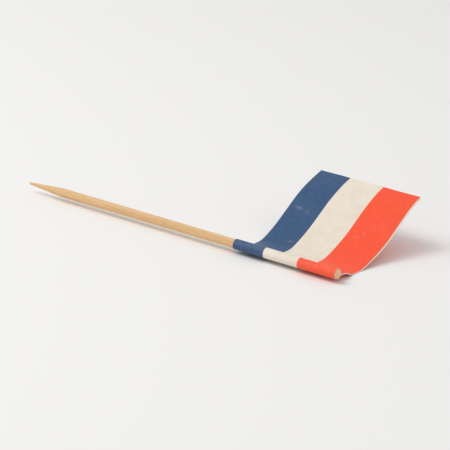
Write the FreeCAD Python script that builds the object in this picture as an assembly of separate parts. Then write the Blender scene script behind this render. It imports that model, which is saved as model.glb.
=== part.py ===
import FreeCAD, Part
import math
import os

# A cocktail pick: a round wooden stick with a small paper flag folded round its blunt end.
# Sizes are in millimetres. The pick lies as it comes to rest: +X runs along the stick to
# its blunt end, +Y runs out to the flag's free edge, and +Z is up from the table.

# Stick
stick_length = 80.0
stick_diameter = 2.0
point_length = 9.0
point_tip_radius = 0.25
end_chamfer = 0.08
stick_past_flag = 0.4

# Paper, one strip folded round the stick and glued back to back. The glue film lies between
# wood and paper, the glue line is how thick the nook beside the stick still is where glue
# fills it, and the reach runs along the flag from the stick's middle to the free edge.
paper_thickness = 0.11
glue_film = 0.02
glue_line = 0.05
crease_radius = 0.8
flag_reach = 35.0

# Beside the stick the sheet leaves the wrap at a slant, arches over a small hump and sinks
# into a dip, so that the pick lies on the sheet and the wrap clears the table by the lift
wrap_lift = 0.8
hump_radius = 6.0
leave_angle = math.radians(18.0)
fall_angle = math.radians(28.0)

# Printed fields, in order from the bare wood to the blunt end; the middle one is bare paper
blue_width = 7.5
white_width = 8.35
red_width = 9.15
print_film = 0.03

# Curl of the flag beyond the dip: level on the table, a tight bend up, a long bow, and an
# ease back that takes the rest of the reach
level_run = 2.0
bend_radius = 7.0
bend_angle = math.radians(19.0)
bow_radius = 46.0
bow_angle = math.radians(15.0)
ease_angle = math.radians(17.5)

# Sizes that follow from those above
stick_radius = stick_diameter / 2
sheet_thickness = 2 * paper_thickness
wrap_inner_radius = stick_radius + glue_film
wrap_outer_radius = wrap_inner_radius + paper_thickness
flag_width = blue_width + white_width + red_width
quarter_turn = math.pi / 2
full_turn = 2 * math.pi


def section_point(y, z):
    return FreeCAD.Vector(0, y, z)


def towards(angle):
    """Unit vector in the section, turned from +Y towards +Z."""
    return section_point(math.cos(angle), math.sin(angle))


def direction(vector):
    """Angle of a vector in the section, from +Y towards +Z."""
    return math.atan2(vector.z, vector.y)


def corner_angle(side, other_side, opposite):
    """Angle of a triangle between two of its sides, across from the third."""
    cosine = (side**2 + other_side**2 - opposite**2) / (2 * side * other_side)
    return math.acos(cosine)


def line(start, end):
    return Part.makeLine(start, end)


def arc(centre, radius, start_angle, end_angle):
    angles = (start_angle, (start_angle + end_angle) / 2, end_angle)
    start, middle, end = [centre + towards(angle) * radius for angle in angles]
    return Part.Arc(start, middle, end).toShape()


# The wrap round the stick, and the hump that it passes into
stick_centre = section_point(0, wrap_lift + wrap_outer_radius)
wrap_exit = leave_angle - quarter_turn
wrap_to_hump = wrap_outer_radius + hump_radius
hump_centre = stick_centre + towards(wrap_exit) * wrap_to_hump
hump_end = hump_centre + towards(quarter_turn - fall_angle) * hump_radius

# The crease is a round stretch that touches the wrap and the hump's upper side
wrap_to_crease = wrap_outer_radius + crease_radius
hump_to_crease = hump_radius + sheet_thickness + crease_radius
crease_direction = wrap_exit + corner_angle(wrap_to_crease, wrap_to_hump, hump_to_crease)
crease_centre = stick_centre + towards(crease_direction) * wrap_to_crease
crease_end = direction(hump_centre - crease_centre) + full_turn

# Length and upward turn of each leg of the sheet's underside, from the hump to the free edge
dip_radius = hump_end.z / (1 - math.cos(fall_angle))
dip_end = hump_end.y + dip_radius * math.sin(fall_angle)
rising_legs = [
    (level_run, 0),
    (bend_radius * bend_angle, bend_angle),
    (bow_radius * bow_angle, bow_angle),
]
ease_run = flag_reach - dip_end - sum(length for length, turn in rising_legs)
sheet_legs = [(dip_radius * fall_angle, fall_angle), *rising_legs, (ease_run, -ease_angle)]


def sheet_side(height):
    """One side of the doubled sheet from the hump to the free edge, at a height above its
    underside, and the point where it ends."""
    foot = hump_end
    heading = -fall_angle
    edges = []
    for length, turn in sheet_legs:
        upwards = towards(heading + quarter_turn)
        if turn:
            radius = length / turn
            centre = foot + upwards * radius
            spoke = heading - quarter_turn
            edges.append(arc(centre, radius - height, spoke, spoke + turn))
            foot = centre + towards(spoke + turn) * radius
            heading += turn
        else:
            next_foot = foot + towards(heading) * length
            edges.append(line(foot + upwards * height, next_foot + upwards * height))
            foot = next_foot
    return edges, foot + towards(heading + quarter_turn) * height


def free_edge_point(height):
    return sheet_side(height)[1]


def outside_of_flag(inset):
    """Outside of the paper, round the fold from free edge to free edge, less an inset."""
    upper = sheet_thickness - inset
    hump_fall = quarter_turn - fall_angle
    return [
        *sheet_side(inset)[0],
        arc(hump_centre, hump_radius + inset, hump_fall, quarter_turn + leave_angle),
        arc(stick_centre, wrap_outer_radius - inset, wrap_exit, crease_direction - full_turn),
        arc(crease_centre, crease_radius + inset, crease_direction + math.pi, crease_end),
        arc(hump_centre, hump_radius + upper, crease_end - math.pi, hump_fall),
        *sheet_side(upper)[0],
    ]


def stick_pocket():
    """Inside of the fold: the stick's seat and the nook beside it, closed by the glue line."""
    nook_radius = crease_radius + paper_thickness
    inner_hump = hump_radius + paper_thickness
    glue_angle = crease_end - corner_angle(nook_radius, hump_to_crease, inner_hump + glue_line)
    glue_top = crease_centre + towards(glue_angle) * nook_radius
    foot_angle = direction(glue_top - hump_centre)
    glue_foot = hump_centre + towards(foot_angle) * inner_hump
    return [
        arc(hump_centre, inner_hump, quarter_turn + leave_angle, foot_angle),
        line(glue_foot, glue_top),
        arc(crease_centre, nook_radius, glue_angle, crease_direction + math.pi),
        arc(stick_centre, wrap_inner_radius, crease_direction, wrap_exit + full_turn),
    ]


def closed_wire(edges):
    return Part.Wire(Part.sortEdges(edges)[0])


def paper_section(inset):
    cut_edge = line(free_edge_point(inset), free_edge_point(sheet_thickness - inset))
    outside = closed_wire([*outside_of_flag(inset), cut_edge])
    return Part.makeFace([outside, closed_wire(stick_pocket())], "Part::FaceMakerBullseye")


def print_section():
    """A printed field's skin, flush with the bare paper and open at the free edge."""
    lower_end = line(free_edge_point(0), free_edge_point(print_film))
    upper_end = line(
        free_edge_point(sheet_thickness - print_film), free_edge_point(sheet_thickness)
    )
    skin = [*outside_of_flag(0), upper_end, *outside_of_flag(print_film), lower_end]
    return Part.Face(closed_wire(skin))


def along_stick(section, start, width):
    """Runs a section along +X for a width, from its start on the X axis."""
    solid = section.extrude(FreeCAD.Vector(width, 0, 0))
    solid.translate(FreeCAD.Vector(start, 0, 0))
    return solid


# Where the fields start along X, which is zero at the stick's middle
red_start = stick_length / 2 - stick_past_flag - red_width
white_start = red_start - white_width
blue_start = white_start - blue_width


def make_paper_flag():
    printed = paper_section(print_film)
    bare = paper_section(0)
    blue_part = along_stick(printed, blue_start, blue_width)
    white_part = along_stick(bare, white_start, white_width)
    red_part = along_stick(printed, red_start, red_width)
    return blue_part.fuse([white_part, red_part]).Solids[0]


def make_blue_print():
    return along_stick(print_section(), blue_start, blue_width)


def make_red_print():
    return along_stick(print_section(), red_start, red_width)


def make_wooden_stick():
    """Turned about the stick's own axis: rounded point, long cone, shank and blunt end."""
    cone_angle = math.atan2(stick_radius - point_tip_radius, point_length)
    tip_sphere = point_tip_radius / math.cos(cone_angle)
    point_start = -stick_length / 2
    sphere_x = point_start + tip_sphere
    cone_start = sphere_x - tip_sphere * math.sin(cone_angle)
    middle_angle = math.pi - (quarter_turn - cone_angle) / 2
    tip = FreeCAD.Vector(point_start, 0, 0)
    tip_middle = FreeCAD.Vector(
        sphere_x + tip_sphere * math.cos(middle_angle), tip_sphere * math.sin(middle_angle), 0
    )
    cone_foot = FreeCAD.Vector(cone_start, point_tip_radius, 0)
    shank_start = FreeCAD.Vector(cone_start + point_length, stick_radius, 0)
    shank_end = FreeCAD.Vector(stick_length / 2 - end_chamfer, stick_radius, 0)
    end_rim = FreeCAD.Vector(stick_length / 2, stick_radius - end_chamfer, 0)
    end_middle = FreeCAD.Vector(stick_length / 2, 0, 0)
    half_outline = Part.Wire([
        Part.Arc(tip, tip_middle, cone_foot).toShape(),
        line(cone_foot, shank_start),
        line(shank_start, shank_end),
        line(shank_end, end_rim),
        line(end_rim, end_middle),
        line(end_middle, tip),
    ])
    origin = FreeCAD.Vector(0, 0, 0)
    along_x = FreeCAD.Vector(1, 0, 0)
    stick = Part.Face(half_outline).revolve(origin, along_x, 360)
    stick.translate(stick_centre)
    return stick


def main():
    os.makedirs("parts", exist_ok=True)
    nodes = {
        "wooden_stick": make_wooden_stick(),
        "paper_flag": make_paper_flag(),
        "blue_print": make_blue_print(),
        "red_print": make_red_print(),
    }
    # The origin is the middle of the pick's footprint on the table
    reach = free_edge_point(0).y
    to_origin = FreeCAD.Vector(0, (wrap_outer_radius - reach) / 2, 0)
    for name, shape in nodes.items():
        shape.translate(to_origin)
        shape.exportStep(f"parts/{name}.step")
        print(f"{name}: {len(shape.Solids)} solid, valid {shape.isValid()}, {shape.Volume:.3f} mm3")
    axis_y = to_origin.y + stick_centre.y
    print(f"stick axis y {axis_y:.4f}, z {stick_centre.z:.4f}, flag {flag_width:.2f} wide")


main()
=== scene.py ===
# %% [markdown]
# # A paper flag pick
#
# The real pick is two things: a thin birch stick with a point, and one strip of coated paper,
# printed in broad fields, folded round the stick's blunt end and glued to itself. The CAD model
# is the frame that everything is built on. It has the stick, the folded paper and the two
# printed fields at their real size, so each piece made here takes its place from there.
# +X runs along the stick to its blunt end, +Y out to the flag's free edge, and +Z is up.

# %% Load the CAD model
import math
from collections import namedtuple

import bpy
from mathutils import Euler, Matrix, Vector, noise


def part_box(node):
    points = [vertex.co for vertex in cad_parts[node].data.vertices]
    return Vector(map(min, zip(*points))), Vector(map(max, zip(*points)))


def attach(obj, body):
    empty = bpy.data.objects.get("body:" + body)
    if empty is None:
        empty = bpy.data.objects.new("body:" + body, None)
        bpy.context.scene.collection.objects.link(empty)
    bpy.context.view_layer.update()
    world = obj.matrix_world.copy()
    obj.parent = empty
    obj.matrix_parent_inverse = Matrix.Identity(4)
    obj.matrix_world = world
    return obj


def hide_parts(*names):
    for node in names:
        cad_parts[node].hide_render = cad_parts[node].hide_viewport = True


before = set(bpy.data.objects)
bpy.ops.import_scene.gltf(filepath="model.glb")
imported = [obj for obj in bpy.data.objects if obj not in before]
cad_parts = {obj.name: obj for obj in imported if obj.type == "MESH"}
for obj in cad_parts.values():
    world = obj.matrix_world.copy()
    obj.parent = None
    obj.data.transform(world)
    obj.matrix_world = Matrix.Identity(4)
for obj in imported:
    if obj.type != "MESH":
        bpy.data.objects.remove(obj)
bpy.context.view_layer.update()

MM = 0.001
print("nodes:", sorted(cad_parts))

# %% [markdown]
# ## Sizes taken from the frame
#
# Reading a size from the CAD nodes is safer than typing it again: if the model changes, the
# looks follow. The stick's box gives its axis, radius and ends, and the printed fields' boxes
# say where one colour stops and the next begins. Lengths are kept in millimetres while a piece
# is worked out, because small round numbers are easy to check, and turned to metres once.

# %% Read the stick and the printed fields
stick_low, stick_high = [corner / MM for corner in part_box("wooden_stick")]
blue_low, blue_high = [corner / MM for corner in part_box("blue_print")]
red_low, red_high = [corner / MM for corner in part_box("red_print")]
STICK_RADIUS = (stick_high.z - stick_low.z) / 2
AXIS_Y = (stick_high.y + stick_low.y) / 2
AXIS_Z = (stick_high.z + stick_low.z) / 2
POINT_X, END_X = stick_low.x, stick_high.x
BLUE_START, BLUE_END = blue_low.x, blue_high.x
RED_START, RED_END = red_low.x, red_high.x
print(f"stick radius {STICK_RADIUS:.3f} mm, axis y {AXIS_Y:.3f} z {AXIS_Z:.3f}")
print(f"blue {BLUE_START:.2f} to {BLUE_END:.2f}, red {RED_START:.2f} to {RED_END:.2f}")

# %% [markdown]
# ## Helpers for materials
#
# Colours are chosen as sRGB hex values, the way a colour picker shows them, but Blender's
# shaders reckon in linear light, so one function turns the first into the second. The next
# starts a material. Wood, paper and paint all have an IOR near 1.5, and how strongly they
# reflect is a number of their own. The last adds a shader node, sets its properties, and gives
# each input a number, another node's output, or another node, which stands for its first
# output. Inputs are named, or numbered where a node has two of the same name.

# %% Colour, material and node helpers
IOR = 1.5


def linear(hex_colour):
    """An sRGB colour such as "#EBC697" as linear RGBA, by the sRGB standard's own curve."""
    channels = [int(hex_colour[i : i + 2], 16) / 255 for i in (1, 3, 5)]
    return [c / 12.92 if c <= 0.04045 else ((c + 0.055) / 1.055) ** 2.4 for c in channels] + [1]


def new_material(name, reflection, roughness=0.5):
    """A material and its shader."""
    material = bpy.data.materials.new(name)
    material.use_nodes = True
    shader = material.node_tree.nodes["Principled BSDF"]
    shader.inputs["IOR"].default_value = IOR
    shader.inputs["Specular IOR Level"].default_value = reflection
    shader.inputs["Roughness"].default_value = roughness
    return material, shader


def add_node(tree, kind, inputs=None, **settings):
    """Adds a node of this kind with its settings, numbers and links."""
    node = tree.nodes.new("ShaderNode" + kind)
    for name, value in settings.items():
        setattr(node, name, value)
    for name, value in (inputs or {}).items():
        if isinstance(value, bpy.types.Node):
            value = value.outputs[0]
        if isinstance(value, bpy.types.NodeSocket):
            tree.links.new(value, node.inputs[name])
        else:
            node.inputs[name].default_value = value
    return node


print("birch as linear light:", [round(c, 3) for c in linear("#EBC697")])

# %% [markdown]
# ## From rings to a mesh
#
# Both the stick and the paper can be made as a row of closed rings, each one a slice across the
# piece, joined to the next by four-sided faces. A cylinder primitive would be quicker for the
# stick, but rings let every slice differ a little, as wood and folded paper do. Edges sharper
# than 35 degrees, such as a cut edge of paper, stay crisp, and the rest is shaded smooth.

# %% Build one mesh from points and faces
SHARP_FROM = math.radians(35)


def make_piece(name, points, faces, looks, materials):
    """A mesh object from points in mm, faces, and the number of each face's material."""
    mesh = bpy.data.meshes.new(name)
    mesh.from_pydata([Vector(p) * MM for p in points], [], faces)
    for material in materials:
        mesh.materials.append(material)
    mesh.polygons.foreach_set("material_index", looks)
    mesh.shade_smooth()
    mesh.set_sharp_from_angle(angle=SHARP_FROM)
    mesh.update()
    mesh.validate()
    piece = bpy.data.objects.new(name, mesh)
    bpy.context.scene.collection.objects.link(piece)
    size = [round(v / MM, 2) for v in piece.dimensions]
    print(f"{name}: {len(mesh.polygons)} faces, {size} mm")
    return piece


print("edges over", round(math.degrees(SHARP_FROM)), "degrees stay crisp")

# %% [markdown]
# ## Birch, milled round and sharpened
#
# Picks are milled from birch veneer or blocks with shaped cutters and then sharpened against a
# spinning abrasive. Birch is pale and even. What the eye sees is fine straight fibre along the
# stick, a few broader bands where the year's growth changed, and short dark pores. A solid
# texture is used: it fills space, stretched along X, and the mesh cuts through it. So the fibres
# run out at the cone and show as dots on the square end, as they do in real wood.
#
# Real fibres are about 0.02 mm thick, too fine to show, so they are drawn at 0.13 mm. Raw milled
# birch has no varnish, so its roughness is high and it reflects little.

# %% Bands, fibres and pores
FIBRE_WIDTH = 0.13

# length and width in mm, the noise's detail and roughness, the noise where the pattern starts
# and where it is full, and its strength
GRAIN = {
    "bands": (40.0, 0.9, 2, 0.5, 0.38, 0.66, 1.0),
    "fibres": (6.0, FIBRE_WIDTH, 4, 0.6, 0.35, 0.68, 1.0),
    "pores": (1.8, 0.10, 1, 0.5, 0.66, 0.74, 0.6),
}


def birch_grain(tree):
    """The noise behind each part of the grain, and how strongly that part shows."""
    place = add_node(tree, "TexCoord").outputs["Object"]
    pattern, share = {}, {}
    for part, (length, width, detail, rough, start, full, strength) in GRAIN.items():
        per_metre = (1 / (length * MM), 1 / (width * MM), 1 / (width * MM))
        stretched = add_node(tree, "Mapping", {"Vector": place, "Scale": per_metre})
        pattern[part] = add_node(
            tree,
            "TexNoise",
            {"Vector": stretched, "Scale": 1, "Detail": detail, "Roughness": rough},
        )
        share[part] = add_node(
            tree,
            "MapRange",
            {"Value": pattern[part], "From Min": start, "From Max": full, "To Max": strength},
        )
    return pattern, share


print(f"fibres drawn {FIBRE_WIDTH} mm apart on a stick {2 * STICK_RADIUS:.2f} mm thick")

# %% Milled birch
BAND_TONE, FIBRE_TONE = 0.45, 0.55
PORE_PIT = 0.8
SMOOTHEST_WOOD, ROUGHEST_WOOD = 0.52, 0.72


def make_birch(name, pale, tan, pore, fuzz):
    """Birch with its fibres along X. fuzz is how deep the bump of its fibres is, in mm."""
    birch, wood = new_material(name, reflection=0.3)
    tree = birch.node_tree
    pattern, share = birch_grain(tree)
    bands = add_node(tree, "Math", {0: share["bands"], 1: BAND_TONE}, operation="MULTIPLY")
    streaks = add_node(
        tree, "Math", {0: share["fibres"], 1: FIBRE_TONE, 2: bands}, operation="MULTIPLY_ADD"
    )
    ground = add_node(
        tree, "Mix", {0: streaks, 6: linear(pale), 7: linear(tan)}, data_type="RGBA"
    )
    pored = add_node(
        tree,
        "Mix",
        {0: share["pores"], 6: ground.outputs[2], 7: linear(pore)},
        data_type="RGBA",
    )
    tree.links.new(pored.outputs[2], wood.inputs["Base Color"])
    dull = add_node(
        tree,
        "MapRange",
        {"Value": pattern["fibres"], "To Min": SMOOTHEST_WOOD, "To Max": ROUGHEST_WOOD},
    )
    tree.links.new(dull.outputs[0], wood.inputs["Roughness"])
    height = add_node(
        tree,
        "Math",
        {0: share["pores"], 1: -PORE_PIT, 2: pattern["fibres"]},
        operation="MULTIPLY_ADD",
    )
    relief = add_node(
        tree, "Bump", {"Height": height, "Distance": fuzz * MM, "Strength": 1.0}
    )
    tree.links.new(relief.outputs[0], wood.inputs["Normal"])
    return birch


milled_birch = make_birch("milled_birch", "#EBC697", "#D5A670", "#A87949", fuzz=0.03)
# The sawn end is end grain, and its tone is partly painted light: it is drawn paler than the
# milled sides, for light falling on the end face.
sawn_birch_end_and_painted_light = make_birch("sawn_birch_end_and_painted_light", "#F8D6B2", "#E8BB92", "#BE916B", fuzz=0.05)
print("made", milled_birch.name, "and", sawn_birch_end_and_painted_light.name)

# %% [markdown]
# ## The stick
#
# The stick is turned from its outline: a rounded point, a cone 9 mm long, the straight shank,
# and a square end whose rim is slightly broken. Each ring then dips a little where a fibre has
# torn out. The dips follow noise that is stretched along X, and they only go inwards, so the
# stick keeps its size and stays clear of the paper round it. Python's own random numbers would
# change from run to run; this noise is fixed in space and gives the same stick every time.

# %% Outline of the stick
POINT_LENGTH = 9.0
TIP_RADIUS = 0.25
RIM_BREAK = 0.08
RING_STEP = 0.3
TIP_RINGS, CONE_RINGS = 6, 30
cone_slope = math.atan2(STICK_RADIUS - TIP_RADIUS, POINT_LENGTH)
tip_ball = TIP_RADIUS / math.cos(cone_slope)
cone_start = POINT_X + tip_ball - tip_ball * math.sin(cone_slope)


def stick_outline():
    """Pairs of x and radius, from the tip to the rim of the square end."""
    outline = []
    for i in range(1, TIP_RINGS + 1):
        turn = (math.pi / 2 - cone_slope) * i / TIP_RINGS
        outline.append((POINT_X + tip_ball * (1 - math.cos(turn)), tip_ball * math.sin(turn)))
    for i in range(1, CONE_RINGS + 1):
        share = i / CONE_RINGS
        radius = TIP_RADIUS + (STICK_RADIUS - TIP_RADIUS) * share
        outline.append((cone_start + POINT_LENGTH * share, radius))
    shank_start, shank_end = outline[-1][0], END_X - RIM_BREAK
    rings = round((shank_end - shank_start) / RING_STEP)
    for i in range(1, rings + 1):
        outline.append((shank_start + (shank_end - shank_start) * i / rings, STICK_RADIUS))
    outline.append((END_X, STICK_RADIUS - RIM_BREAK))
    return outline


print(len(stick_outline()), "rings")

# %% How the wood dips
FIBRE_DEPTH, FIBRE_LENGTH, FIBRES_ACROSS = 0.022, 9.0, 5.5
FLAT_DEPTH, FLAT_LENGTH, FLATS_ACROSS = 0.012, 30.0, 1.1
FLAT_SHIFT = 7.0


def wood_noise(x, angle, length, across, shift=0.0):
    """Noise from -1 to 1 on the stick's surface, stretched to this length in mm."""
    y, z = math.cos(angle) * across, math.sin(angle) * across + shift
    return noise.noise(Vector((x / length, y, z)))


def groove(x, angle):
    """How far the wood dips at this place, in mm: fine torn fibre and broad cutter flats."""
    fibre = wood_noise(x, angle, FIBRE_LENGTH, FIBRES_ACROSS)
    flat = wood_noise(x, angle, FLAT_LENGTH, FLATS_ACROSS, FLAT_SHIFT)
    return max(0.0, fibre) * FIBRE_DEPTH + (0.5 + 0.5 * flat) * FLAT_DEPTH


print(f"the deepest dip is under {FIBRE_DEPTH + FLAT_DEPTH:.3f} mm")

# %% Rings of wood
AROUND = 72
END_TEAR = 0.035
TEARS_PER_MM, TEAR_SHIFT = 5, 3.0


def wood_ring(x, radius):
    """One ring of the point, cone or shank, with its dips."""
    ring = []
    for k in range(AROUND):
        angle = math.tau * k / AROUND
        r = radius - groove(x, angle) * min(1.0, radius / STICK_RADIUS)
        ring.append((x, AXIS_Y + r * math.cos(angle), AXIS_Z + r * math.sin(angle)))
    return ring


def sawn_ring(share):
    """One ring of the square end, at a share of its radius, torn a little by the saw."""
    ring = []
    for k in range(AROUND):
        angle = math.tau * k / AROUND
        r = (STICK_RADIUS - RIM_BREAK) * share
        y, z = r * math.cos(angle), r * math.sin(angle)
        torn = noise.noise(Vector((TEAR_SHIFT, y * TEARS_PER_MM, z * TEARS_PER_MM)))
        ring.append((END_X - END_TEAR * (0.5 + 0.5 * torn), AXIS_Y + y, AXIS_Z + z))
    return ring


print("each ring of wood has", AROUND, "points")

# %% The stick's mesh
END_RINGS = (0.82, 0.62, 0.42, 0.22)


def make_stick():
    """Rings along the wood and over its square end, closed by a fan of faces at each end."""
    wood = [wood_ring(x, radius) for x, radius in stick_outline()]
    end = [sawn_ring(share) for share in END_RINGS]
    points = [(POINT_X, AXIS_Y, AXIS_Z)]
    points += [point for ring in wood + end for point in ring]
    points.append((END_X - END_TEAR / 2, AXIS_Y, AXIS_Z))
    starts = range(1, len(points) - 1, AROUND)
    sides = [(k, (k + 1) % AROUND) for k in range(AROUND)]
    faces = [(0, starts[0] + b, starts[0] + a) for a, b in sides]
    for this, following in zip(starts, starts[1:]):
        faces += [(this + a, this + b, following + b, following + a) for a, b in sides]
    faces += [(starts[-1] + a, starts[-1] + b, len(points) - 1) for a, b in sides]
    looks = [0] * AROUND * len(wood) + [1] * AROUND * (len(end) + 1)
    return make_piece("birch_stick", points, faces, looks, [milled_birch, sawn_birch_end_and_painted_light])


birch_stick = make_stick()
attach(birch_stick, "root")
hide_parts("wooden_stick")

# %% [markdown]
# ## The path of the fold
#
# A fold is easiest to see from its end. The strip comes in from the lower free edge, runs under
# the stick, turns round it, turns back in the crease and goes out again on top of itself. That
# is a walk: each leg has a length and a turn, and the walker's right hand always points into
# the paper. Layers at any depth are then steps to the right, so both faces of the paper, and
# the ink in its surface, come from the one walk.
#
# Glued paper doesn't leave a stick quite straight. The two halves meet above the table, so the
# sheet arches over a small hump and sinks into a dip, where it lies. From there it springs up in
# a tight bend and a long bow, and eases off towards the free edge.

# %% Wrap, hump and crease, as seen from the stick's middle
PAPER = 0.11
GLUE_FILM = 0.02
SHEET = 2 * PAPER
REACH = 35.0
WRAP_RADIUS = STICK_RADIUS + GLUE_FILM + PAPER
CREASE_RADIUS = 0.8
HUMP_RADIUS, LEAVE_TURN, FALL_TURN = 6.0, math.radians(18), math.radians(28)

wrap_exit = LEAVE_TURN - math.pi / 2
to_hump = WRAP_RADIUS + HUMP_RADIUS
to_crease = WRAP_RADIUS + CREASE_RADIUS
between = HUMP_RADIUS + SHEET + CREASE_RADIUS
opening = math.acos((to_crease**2 + to_hump**2 - between**2) / (2 * to_crease * to_hump))
crease_bearing = wrap_exit + opening
hump_y, hump_z = to_hump * math.cos(wrap_exit), to_hump * math.sin(wrap_exit)
crease_y = to_crease * math.cos(crease_bearing)
crease_z = to_crease * math.sin(crease_bearing)
crease_end = math.atan2(hump_z - crease_z, hump_y - crease_y) + math.tau
hump_end_z = AXIS_Z + hump_z + HUMP_RADIUS * math.cos(FALL_TURN)
dip_radius = hump_end_z / (1 - math.cos(FALL_TURN))
print(f"dip {dip_radius:.2f} mm in radius, crease turned {math.degrees(crease_end):.1f} degrees")

# %% Distances out along the sheet, and the walk's legs
LEVEL_RUN = 2.0
BEND_RADIUS, BEND_TURN = 7.0, math.radians(19)
BOW_RADIUS, BOW_TURN = 46.0, math.radians(15)
EASE_TURN = math.radians(17.5)
SHEET_STEP, WRAP_STEP = 0.35, 0.09

hump_end = hump_y + HUMP_RADIUS * math.sin(FALL_TURN)
dip_end = hump_end + dip_radius * math.sin(FALL_TURN)
level_end = dip_end + LEVEL_RUN
bend_end = level_end + BEND_RADIUS * BEND_TURN
bow_end = bend_end + BOW_RADIUS * BOW_TURN
ease_radius = (REACH - bow_end) / EASE_TURN
wrap_turn = wrap_exit - crease_bearing + math.tau
crease_turn = crease_end - crease_bearing - math.pi
upper_hump_turn = crease_end - 1.5 * math.pi + FALL_TURN

# length, turn, distance out along the sheet at the leg's start and end, longest step
legs = [
    (ease_radius * EASE_TURN, EASE_TURN, REACH, bow_end, SHEET_STEP),
    (BOW_RADIUS * BOW_TURN, -BOW_TURN, bow_end, bend_end, SHEET_STEP),
    (BEND_RADIUS * BEND_TURN, -BEND_TURN, bend_end, level_end, SHEET_STEP),
    (LEVEL_RUN, 0, level_end, dip_end, SHEET_STEP),
    (dip_radius * FALL_TURN, -FALL_TURN, dip_end, hump_end, SHEET_STEP),
    (HUMP_RADIUS * (FALL_TURN + LEAVE_TURN), FALL_TURN + LEAVE_TURN, hump_end, 0, SHEET_STEP),
    (WRAP_RADIUS * wrap_turn, -wrap_turn, 0, 0, WRAP_STEP),
    (CREASE_RADIUS * crease_turn, crease_turn, 0, 0, WRAP_STEP),
    ((HUMP_RADIUS + SHEET) * upper_hump_turn, -upper_hump_turn, 0, hump_end, SHEET_STEP),
    ((dip_radius - SHEET) * FALL_TURN, FALL_TURN, hump_end, dip_end, SHEET_STEP),
    (LEVEL_RUN, 0, dip_end, level_end, SHEET_STEP),
    ((BEND_RADIUS - SHEET) * BEND_TURN, BEND_TURN, level_end, bend_end, SHEET_STEP),
    ((BOW_RADIUS - SHEET) * BOW_TURN, BOW_TURN, bend_end, bow_end, SHEET_STEP),
    ((ease_radius + SHEET) * EASE_TURN, -EASE_TURN, bow_end, REACH, SHEET_STEP),
]
WRAP_LEG = 6
print(f"strip {sum(leg[0] for leg in legs):.2f} mm long on its outer face, {len(legs)} legs")

# %% Walk round the fold
Stop = namedtuple("Stop", "leg share y z heading out")


def step_on(y, z, heading, length, turn):
    """Where the walker stands after a leg, or a part of one."""
    if not turn:
        return y + length * math.cos(heading), z + length * math.sin(heading)
    radius = length / turn
    ahead = heading + turn
    there_y = y + radius * (math.sin(ahead) - math.sin(heading))
    there_z = z - radius * (math.cos(ahead) - math.cos(heading))
    return there_y, there_z


def walk(legs, heading):
    """Stops along the walk, each with its leg, its share of that leg, its place and heading,
    and how far out along the sheet it is."""
    y, z, stops = 0.0, 0.0, []
    for number, (length, turn, near, far, longest) in enumerate(legs):
        steps = math.ceil(length / longest)
        last_leg = number == len(legs) - 1
        for i in range(steps + 1 if last_leg else steps):
            share = i / steps
            place = step_on(y, z, heading, length * share, turn * share)
            out = near + (far - near) * share
            stops.append(Stop(number, share, *place, heading + turn * share, out))
        y, z = step_on(y, z, heading, length, turn)
        heading += turn
    return stops


stops = walk(legs, math.pi + BEND_TURN + BOW_TURN - EASE_TURN)
wrap_start = next(stop for stop in stops if stop.leg == WRAP_LEG)
to_stick_y = AXIS_Y + WRAP_RADIUS * math.cos(wrap_exit) - wrap_start.y
to_stick_z = AXIS_Z + WRAP_RADIUS * math.sin(wrap_exit) - wrap_start.z
free_edge_y = stops[0].y + to_stick_y
print(f"{len(stops)} stops; free edge at y {free_edge_y:.3f}, flag box {red_high.y:.3f}")

# %% [markdown]
# ## How handled paper differs from the plain fold
#
# Four small things keep it from looking like bent tin. The curl is slightly askew: towards the
# blue edge it starts sooner, towards the red edge later. The sheet has a faint cockle from damp
# glue. Where the paper goes round the stick it doesn't make a perfect tube, but a few soft
# flats. And a strip is never folded quite square: the back half is turned by a little over half
# a degree, so along the red edge it peeps out as a pale sliver that widens towards the free edge.
#
# None of the four moves the paper by more than about 0.6 mm. The skew and the cockle fade out
# towards the dip, so the flag still rests on the table, and both halves take them alike, so they
# stay together.

# %% Skew and cockle of the sheet
SKEW = 0.60
SKEW_PEAK = 1.1
COCKLE = 0.045
WAVE_ALONG, WAVE_OUT, WAVE_LEAN = 9.5, 15.0, 6.0
ALONG_PHASE, OUT_PHASE = 1.3, 0.4
COCKLE_START, COCKLE_FULL = 13.0, 21.0


def fade(value, start, end):
    """A smooth step from 0 at start to 1 at end."""
    share = min(1.0, max(0.0, (value - start) / (end - start)))
    return share * share * (3 - 2 * share)


def lift(x, out):
    """How far the sheet stands above the plain curl, in mm."""
    if out <= level_end:
        return 0.0
    across = (x - (BLUE_START + RED_END) / 2) / ((RED_END - BLUE_START) / 2)
    beyond_dip = (out - level_end) / (REACH - level_end)
    bow = math.sin(math.pi * beyond_dip**SKEW_PEAK) ** 2
    along_wave = math.sin(math.tau * x / WAVE_ALONG + ALONG_PHASE + out / WAVE_LEAN)
    wave = along_wave * math.sin(math.tau * out / WAVE_OUT + OUT_PHASE)
    return -SKEW * across * bow + COCKLE * wave * fade(out, COCKLE_START, COCKLE_FULL)


highest = max(lift(x, out) for x in (BLUE_START, RED_END) for out in range(round(REACH) + 1))
print(f"skew and cockle lift the sheet by up to {highest:.2f} mm")

# %% Flats of the wrap, and the back half out of square
WRAP_FLATS, FLAT_RELIEF = 5, 0.03
FLATS_FADE_IN, FLATS_FADE_OUT = (0.14, 0.3), (0.8, 0.98)
FLAT_WANDER, WANDER_LENGTH, WANDER_SHIFT = 0.8, 6.0, 2.0
OFF_SQUARE = math.radians(0.65)


def swell(x, share):
    """How far the wrap stands out from a true tube, in mm, at a share of its own leg."""
    ends = fade(share, *FLATS_FADE_IN) * (1 - fade(share, *FLATS_FADE_OUT))
    wander = FLAT_WANDER * noise.noise(Vector((x / WANDER_LENGTH, WANDER_SHIFT, 0.0)))
    return FLAT_RELIEF * ends * (0.5 + 0.5 * math.cos(math.tau * WRAP_FLATS * share + wander))


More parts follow.
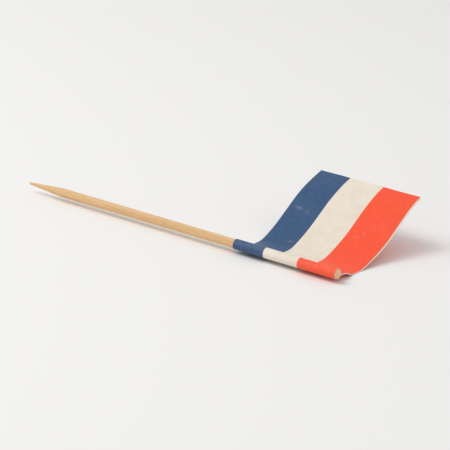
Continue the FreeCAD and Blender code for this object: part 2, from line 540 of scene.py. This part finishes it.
def layer(x, stop, depth):
    """A point of the paper at x, at a depth below its outer face. The turned back half moves
    aside as it goes out, and in from the free edge as it goes along the stick."""
    forward_y, forward_z = math.cos(stop.heading), math.sin(stop.heading)
    side, shorter = -1, 0.0
    if stop.leg < WRAP_LEG:
        beyond_dip = max(0.0, stop.out - level_end) / (REACH - level_end)
        side, shorter = 1, (x - BLUE_START) * OFF_SQUARE * beyond_dip
        x += stop.out * OFF_SQUARE
    inwards = depth + side * lift(x, stop.out - shorter)
    if stop.leg == WRAP_LEG:
        inwards -= swell(x, stop.share) * (1 - depth / PAPER)
    y = stop.y + to_stick_y + forward_y * shorter + forward_z * inwards
    z = stop.z + to_stick_z + forward_z * shorter - forward_y * inwards
    return (x, y, z)


print(f"the back half is {REACH * OFF_SQUARE:.2f} mm aside at the free edge")

# %% [markdown]
# ## Coated paper, printed and cut
#
# The paper is a light coated stock of about 90 g per square metre, the kind that labels are
# printed on. Its china clay coat gives a soft gleam but no mirror, so the roughness is near a
# half, and its grain of clumped fibre, about 0.4 mm across, shows as a faint unevenness.
# Guillotined edges show the uncoated inside of the paper, which is lighter and quite matt. Its
# torn fibre is drawn at 0.12 mm, coarser than it is, so that it shows at all.

# %% Bare coated paper and its cut edges
PAPER_GRAIN, PAPER_RELIEF = 0.4, 0.006
EDGE_GRAIN, EDGE_RELIEF = 0.12, 0.02
CLOUD = 7
PALE_UP_TO, SHADED_FROM = 0.14, 0.4


def start_paper(name, grain, relief_depth, roughness=0.5):
    """A material with paper's relief, and its shader, its place and its clumps of fibre, which
    are grain mm across."""
    paper, surface = new_material(name, reflection=0.2, roughness=roughness)
    tree = paper.node_tree
    place = add_node(tree, "TexCoord").outputs["Object"]
    clumps = add_node(
        tree, "TexNoise", {"Vector": place, "Scale": 1 / (grain * MM), "Detail": 3}
    )
    relief = add_node(
        tree, "Bump", {"Height": clumps, "Distance": relief_depth * MM, "Strength": 1.0}
    )
    tree.links.new(relief.outputs[0], surface.inputs["Normal"])
    return paper, surface, place, clumps


def make_paper(name, colour, shade, grain, relief_depth, roughness):
    """Bare paper with faint clouds, CLOUD times as broad as its grain."""
    paper, surface, place, clumps = start_paper(name, grain, relief_depth, roughness)
    tree = paper.node_tree
    clouds = add_node(
        tree, "TexNoise", {"Vector": place, "Scale": 1 / (CLOUD * grain * MM), "Detail": 2}
    )
    unevenness = add_node(tree, "Math", {0: clumps, 1: clouds}, operation="MULTIPLY")
    share = add_node(
        tree,
        "MapRange",
        {"Value": unevenness, "From Min": PALE_UP_TO, "From Max": SHADED_FROM},
    )
    tone = add_node(
        tree, "Mix", {0: share, 6: linear(colour), 7: linear(shade)}, data_type="RGBA"
    )
    tree.links.new(tone.outputs[2], surface.inputs["Base Color"])
    return paper


coated_paper = make_paper(
    "coated_paper", "#F0E6D7", "#E9DCCA", PAPER_GRAIN, PAPER_RELIEF, roughness=0.52
)
cut_paper = make_paper(
    "guillotined_paper_edge", "#F6EFE6", "#E9DFD2", EDGE_GRAIN, EDGE_RELIEF, roughness=0.85
)
print(f"paper grain drawn at {PAPER_GRAIN} mm, cut edge at {EDGE_GRAIN} mm")

# %% [markdown]
# ## Wear on the ink, and a painted sheen
#
# Ink wears off in two ways. Where the paper is bent round the stick it stands proud and gets
# rubbed, and a little of the paper's white comes through in fine grains. And the flat face has a
# few pale scuffs. One more pale mark on the red, long and faint where the sheet begins to curl,
# is a painted sheen, drawn the same way as a scuff. The rub is found by how far a place is from
# the stick's axis, and each scuff and the sheen by where it lies on the face. The same fine noise
# breaks up all of them, so their edges are ragged. The scuffs and the sheen are only on the face
# that looks up, which the surface's normal tells.

# %% Rub at the fold
RUB_GRAIN = 0.35
RUB_OUTSIDE, RUB_FULL = 0.35, 0.05
RUB_STRENGTH = 0.08
SPARED_UP_TO, RUBBED_FROM = 0.35, 0.75


def distance(tree, place, middle, scale):
    """How far a place is from a middle, with each of the three directions scaled."""
    offset = add_node(tree, "VectorMath", {0: place, 1: middle}, operation="SUBTRACT")
    scaled = add_node(tree, "VectorMath", {0: offset, 1: scale}, operation="MULTIPLY")
    return add_node(tree, "VectorMath", {0: scaled}, operation="LENGTH").outputs["Value"]


def rub_at_fold(tree, place, grain):
    """The share of ink that is rubbed off round the stick."""
    from_axis = distance(tree, place, (0, AXIS_Y * MM, AXIS_Z * MM), (0, 1, 1))
    outside, full = (WRAP_RADIUS + RUB_OUTSIDE) * MM, (WRAP_RADIUS + RUB_FULL) * MM
    on_fold = add_node(
        tree, "MapRange", {"Value": from_axis, "From Min": outside, "From Max": full}
    )
    grains = add_node(
        tree,
        "MapRange",
        {
            "Value": grain,
            "From Min": SPARED_UP_TO,
            "From Max": RUBBED_FROM,
            "To Max": RUB_STRENGTH,
        },
    )
    return add_node(tree, "Math", {0: on_fold, 1: grains}, operation="MULTIPLY")


print(f"rub drawn in grains of {RUB_GRAIN} mm, {RUB_STRENGTH:.0%} of the ink at most")

# %% Scuffs and a painted sheen on the face
RAGGED = 1.4
SCUFF_AND_SHEEN_RIM, SCUFF_AND_SHEEN_HEART = 1.7, 0.6
UP_MARGIN = 0.1


def scuffs_and_sheen_on_face(tree, place, grain, scuffs_and_sheen):
    """The share of ink that is scuffed off the upper face, together with a pale painted sheen
    that is drawn the same way. Each mark is its x, y, half length and half width in mm, and its
    strength."""
    scuffed_and_sheen = 0.0
    for x, y, half_length, half_width, strength in scuffs_and_sheen:
        per_half = (1 / (half_length * MM), 1 / (half_width * MM), 0)
        from_middle = distance(tree, place, (x * MM, y * MM, 0), per_half)
        ragged = add_node(
            tree, "Math", {0: grain, 1: RAGGED, 2: from_middle}, operation="MULTIPLY_ADD"
        )
        mark = add_node(
            tree,
            "MapRange",
            {
                "Value": ragged,
                "From Min": SCUFF_AND_SHEEN_RIM,
                "From Max": SCUFF_AND_SHEEN_HEART,
                "To Max": strength,
            },
        )
        scuffed_and_sheen = add_node(tree, "Math", {0: scuffed_and_sheen, 1: mark}, operation="MAXIMUM")
    normal = add_node(tree, "NewGeometry").outputs["Normal"]
    upwards = add_node(tree, "SeparateXYZ", {"Vector": normal}).outputs["Z"]
    on_face = add_node(
        tree, "MapRange", {"Value": upwards, "From Min": -UP_MARGIN, "From Max": UP_MARGIN}
    )
    return add_node(tree, "Math", {0: scuffed_and_sheen, 1: on_face}, operation="MULTIPLY")


print(f"noise moves a scuff's edge by up to {RAGGED} of its half width")

# %% [markdown]
# ## Offset ink
#
# The fields are offset ink on the paper's coat. Solid ink is a little smoother than bare coat,
# so it gleams a little more. Where it has worn off, the coat is scratched too, so those places
# are the dullest. The ink's density mottles over a millimetre or so, as the coat drinks it
# unevenly.

# %% Blue and red ink
MOTTLE = 1.2
THIN_INK, DENSE_INK = 0.3, 0.7
INK_ROUGHNESS, WORN_ROUGHNESS = 0.42, 0.75


def make_ink(name, colour, dense, bare_and_sheen, scuffs_and_sheen):
    """Offset ink with its mottle, worn through to the bare colour, and lightened towards it where
    a painted sheen is drawn.
    """
    ink, surface, place, _ = start_paper(name, PAPER_GRAIN, PAPER_RELIEF)
    tree = ink.node_tree
    mottle = add_node(
        tree, "TexNoise", {"Vector": place, "Scale": 1 / (MOTTLE * MM), "Detail": 4}
    )
    density = add_node(
        tree, "MapRange", {"Value": mottle, "From Min": THIN_INK, "From Max": DENSE_INK}
    )
    solid = add_node(
        tree, "Mix", {0: density, 6: linear(colour), 7: linear(dense)}, data_type="RGBA"
    )
    grain = add_node(
        tree, "TexNoise", {"Vector": place, "Scale": 1 / (RUB_GRAIN * MM), "Detail": 3}
    )
    rubbed = rub_at_fold(tree, place, grain)
    scuffed_and_sheen = scuffs_and_sheen_on_face(tree, place, grain, scuffs_and_sheen)
    worn_and_sheen = add_node(tree, "Math", {0: rubbed, 1: scuffed_and_sheen}, operation="MAXIMUM")
    printed = add_node(
        tree, "Mix", {0: worn_and_sheen, 6: solid.outputs[2], 7: linear(bare_and_sheen)}, data_type="RGBA"
    )
    tree.links.new(printed.outputs[2], surface.inputs["Base Color"])
    dull = add_node(
        tree, "MapRange", {"Value": worn_and_sheen, "To Min": INK_ROUGHNESS, "To Max": WORN_ROUGHNESS}
    )
    tree.links.new(dull.outputs[0], surface.inputs["Roughness"])
    return ink


blue_scuffs = [
    (17.0, 4.8, 1.5, 0.45, 0.22),
    (19.2, 4.7, 0.5, 0.6, 0.12),
    (20.6, -3.6, 1.2, 0.5, 0.14),
]
# The second red mark, long and faint where the sheet begins to curl, is a painted sheen, not a
# scuff.
red_scuffs_and_sheen = [(33.9, 4.1, 0.35, 0.45, 0.28), (33.0, 2.6, 1.1, 0.6, 0.08)]
blue_ink = make_ink("blue_offset_ink", "#3A597F", "#325177", "#C9C8CC", blue_scuffs)
red_ink = make_ink("red_offset_ink", "#FD5C3A", "#FC5433", "#FBD9CB", red_scuffs_and_sheen)
print(len(blue_scuffs) + len(red_scuffs_and_sheen), "scuffs, where the flag has been handled")

# %% [markdown]
# ## The folded paper and its printed fields
#
# The strip is one mesh of rings, one ring for each step along the stick: out along the outer
# face, back along the inner one. Under the ink its outer face lies deeper by the ink's
# thickness, so the two fields fit into it flush with the bare field between them. Real ink is
# a few thousandths of a millimetre thick; here it is 0.01 mm, thick enough to be a solid body.
# The two halves of the strip are 0.01 mm apart, where the glue is.

# %% A folded sheet as a row of rings
COLUMN = 0.42


def columns(start, end):
    """Even steps along the stick, in mm."""
    count = math.ceil((end - start) / COLUMN)
    return [start + (end - start) * i / count for i in range(count + 1)]


def make_sheet(name, rings, inner_depth, materials):
    """A folded sheet. rings are pairs of x and the depth of the outer face there. The first
    material is for the faces and the last for the cut edges."""
    points, faces, looks = [], [], []
    count = len(stops)
    face_look, edge_look = 0, len(materials) - 1
    for x, outer_depth in rings:
        points += [layer(x, stop, outer_depth) for stop in stops]
        points += [layer(x, stop, inner_depth) for stop in reversed(stops)]
    around = 2 * count
    for ring in range(len(rings) - 1):
        for i in range(around):
            a, b = ring * around + i, ring * around + (i + 1) % around
            faces.append((a, a + around, b + around, b))
            looks.append(edge_look if i in (count - 1, around - 1) else face_look)
    for ring, flip in ((0, False), (len(rings) - 1, True)):
        for i in range(count - 1):
            outer, inner = ring * around + i, ring * around + around - 1 - i
            corners = (outer, outer + 1, inner - 1, inner)
            faces.append(corners[::-1] if flip else corners)
            looks.append(edge_look)
    return make_piece(name, points, faces, looks, materials)


print("each ring of paper has", 2 * len(stops), "points")

# %% Paper strip and ink
INK = 0.01
INK_STEP = 0.005
GLUE_GAP = 0.01
blue_rings = columns(BLUE_START, BLUE_END)
white_rings = columns(BLUE_END + INK_STEP, RED_START - INK_STEP)
red_rings = columns(RED_START, RED_END)
strip_rings = [(x, INK) for x in blue_rings] + [(x, 0) for x in white_rings]
strip_rings += [(x, INK) for x in red_rings]
ply = PAPER - GLUE_GAP / 2

paper_strip = make_sheet("folded_paper", strip_rings, ply, [coated_paper, cut_paper])
blue_field = make_sheet("blue_field", [(x, 0) for x in blue_rings], INK, [blue_ink])
red_field = make_sheet("red_field", [(x, 0) for x in red_rings], INK, [red_ink])
for piece, node, slot in (
    (paper_strip, "paper_flag", "bare_paper"),
    (blue_field, "blue_print", "blue_ink_on_paper"),
    (red_field, "red_print", "red_ink_on_paper"),
):
    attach(piece, "root")
    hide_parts(node)

# %% [markdown]
# ## Floor, light and camera
#
# The floor is plain and pale so that nothing competes with the pick. It lies a hair below the
# paper, so that the two faces don't meet. The world gives an even light from all round, and one
# large soft lamp stands above, in front and on the side of the stick's point. It gives the
# gentle shadow and the gleam on the paper. Together they light a level surface so that a colour
# renders about as it is written. The camera, gloss and glass see the world as plain white, while
# the light that falls on dull surfaces has a level of its own.

# %% Pale floor
FLOOR_SIZE = 4.0
FLOOR_DROP = 0.02 * MM
half = FLOOR_SIZE / 2
paint, paint_shader = new_material("pale_matt_paint", reflection=0.1, roughness=0.9)
paint_shader.inputs["Base Color"].default_value = linear("#F7F6F4")
corners = [(x * half, y * half, -FLOOR_DROP) for x, y in ((-1, -1), (1, -1), (1, 1), (-1, 1))]
floor_mesh = bpy.data.meshes.new("floor")
floor_mesh.from_pydata(corners, [], [(0, 1, 2, 3)])
floor_mesh.materials.append(paint)
floor = bpy.data.objects.new("floor", floor_mesh)
bpy.context.scene.collection.objects.link(floor)
print("floor", FLOOR_SIZE, "m wide")

# %% Soft light from the world
WORLD_LEVEL = 0.62
world = bpy.data.worlds.new("studio")
world.use_nodes = True
bpy.context.scene.world = world
sky = world.node_tree.nodes["Background"]
ray = add_node(world.node_tree, "LightPath")
seen = ray.outputs["Is Camera Ray"]
for kind in ("Is Glossy Ray", "Is Transmission Ray"):
    seen = add_node(
        world.node_tree, "Math", {0: seen, 1: ray.outputs[kind]}, operation="MAXIMUM"
    )
level = add_node(
    world.node_tree, "MapRange", {"Value": seen, "To Min": WORLD_LEVEL, "To Max": 1.0}
)
world.node_tree.links.new(level.outputs[0], sky.inputs["Strength"])
sky.inputs["Color"].default_value = linear("#FFFFFF")
print("world level", WORLD_LEVEL)

# %% Soft lamp
LAMP_SIZE, LAMP_POWER = 0.45, 2.6
LAMP_PLACE = Vector((-0.34, -0.30, 0.62))
lamp = bpy.data.lights.new("softbox", "AREA")
lamp.shape, lamp.size, lamp.energy = "SQUARE", LAMP_SIZE, LAMP_POWER
softbox = bpy.data.objects.new("softbox", lamp)
softbox.location = LAMP_PLACE
softbox.rotation_mode = "QUATERNION"
softbox.rotation_quaternion = (-LAMP_PLACE).to_track_quat("-Z", "Y")
bpy.context.scene.collection.objects.link(softbox)
print("lamp", LAMP_POWER, "W,", round(LAMP_PLACE.length, 2), "m away")

# %% [markdown]
# The camera stands as it did for the photograph: low, to the front and right of the flag, about
# 55 cm away. Its lens is long enough for the whole pick to fill the picture, and it leans by a
# few degrees, as a camera in the hand does.

# %% Camera
CAMERA_PLACE = Vector((287.8, -450.0, 182.0)) * MM
AIM = Vector((9.75, -12.8, 4.2)) * MM
LEAN = math.radians(4.63)
LENS, SENSOR = 208.0, 36.0
NEAREST, FARTHEST = 0.01, 20.0
camera_data = bpy.data.cameras.new("camera")
camera_data.lens, camera_data.sensor_width = LENS, SENSOR
camera_data.clip_start, camera_data.clip_end = NEAREST, FARTHEST
camera = bpy.data.objects.new("camera", camera_data)
camera.location = CAMERA_PLACE
camera.rotation_mode = "QUATERNION"
straight = (AIM - CAMERA_PLACE).to_track_quat("-Z", "Y")
camera.rotation_quaternion = straight @ Euler((0, 0, LEAN)).to_quaternion()
bpy.context.scene.collection.objects.link(camera)
bpy.context.scene.camera = camera
bpy.context.scene.view_settings.view_transform = "Standard"
print(f"camera {(AIM - CAMERA_PLACE).length:.3f} m from the pick, {LENS} mm lens")
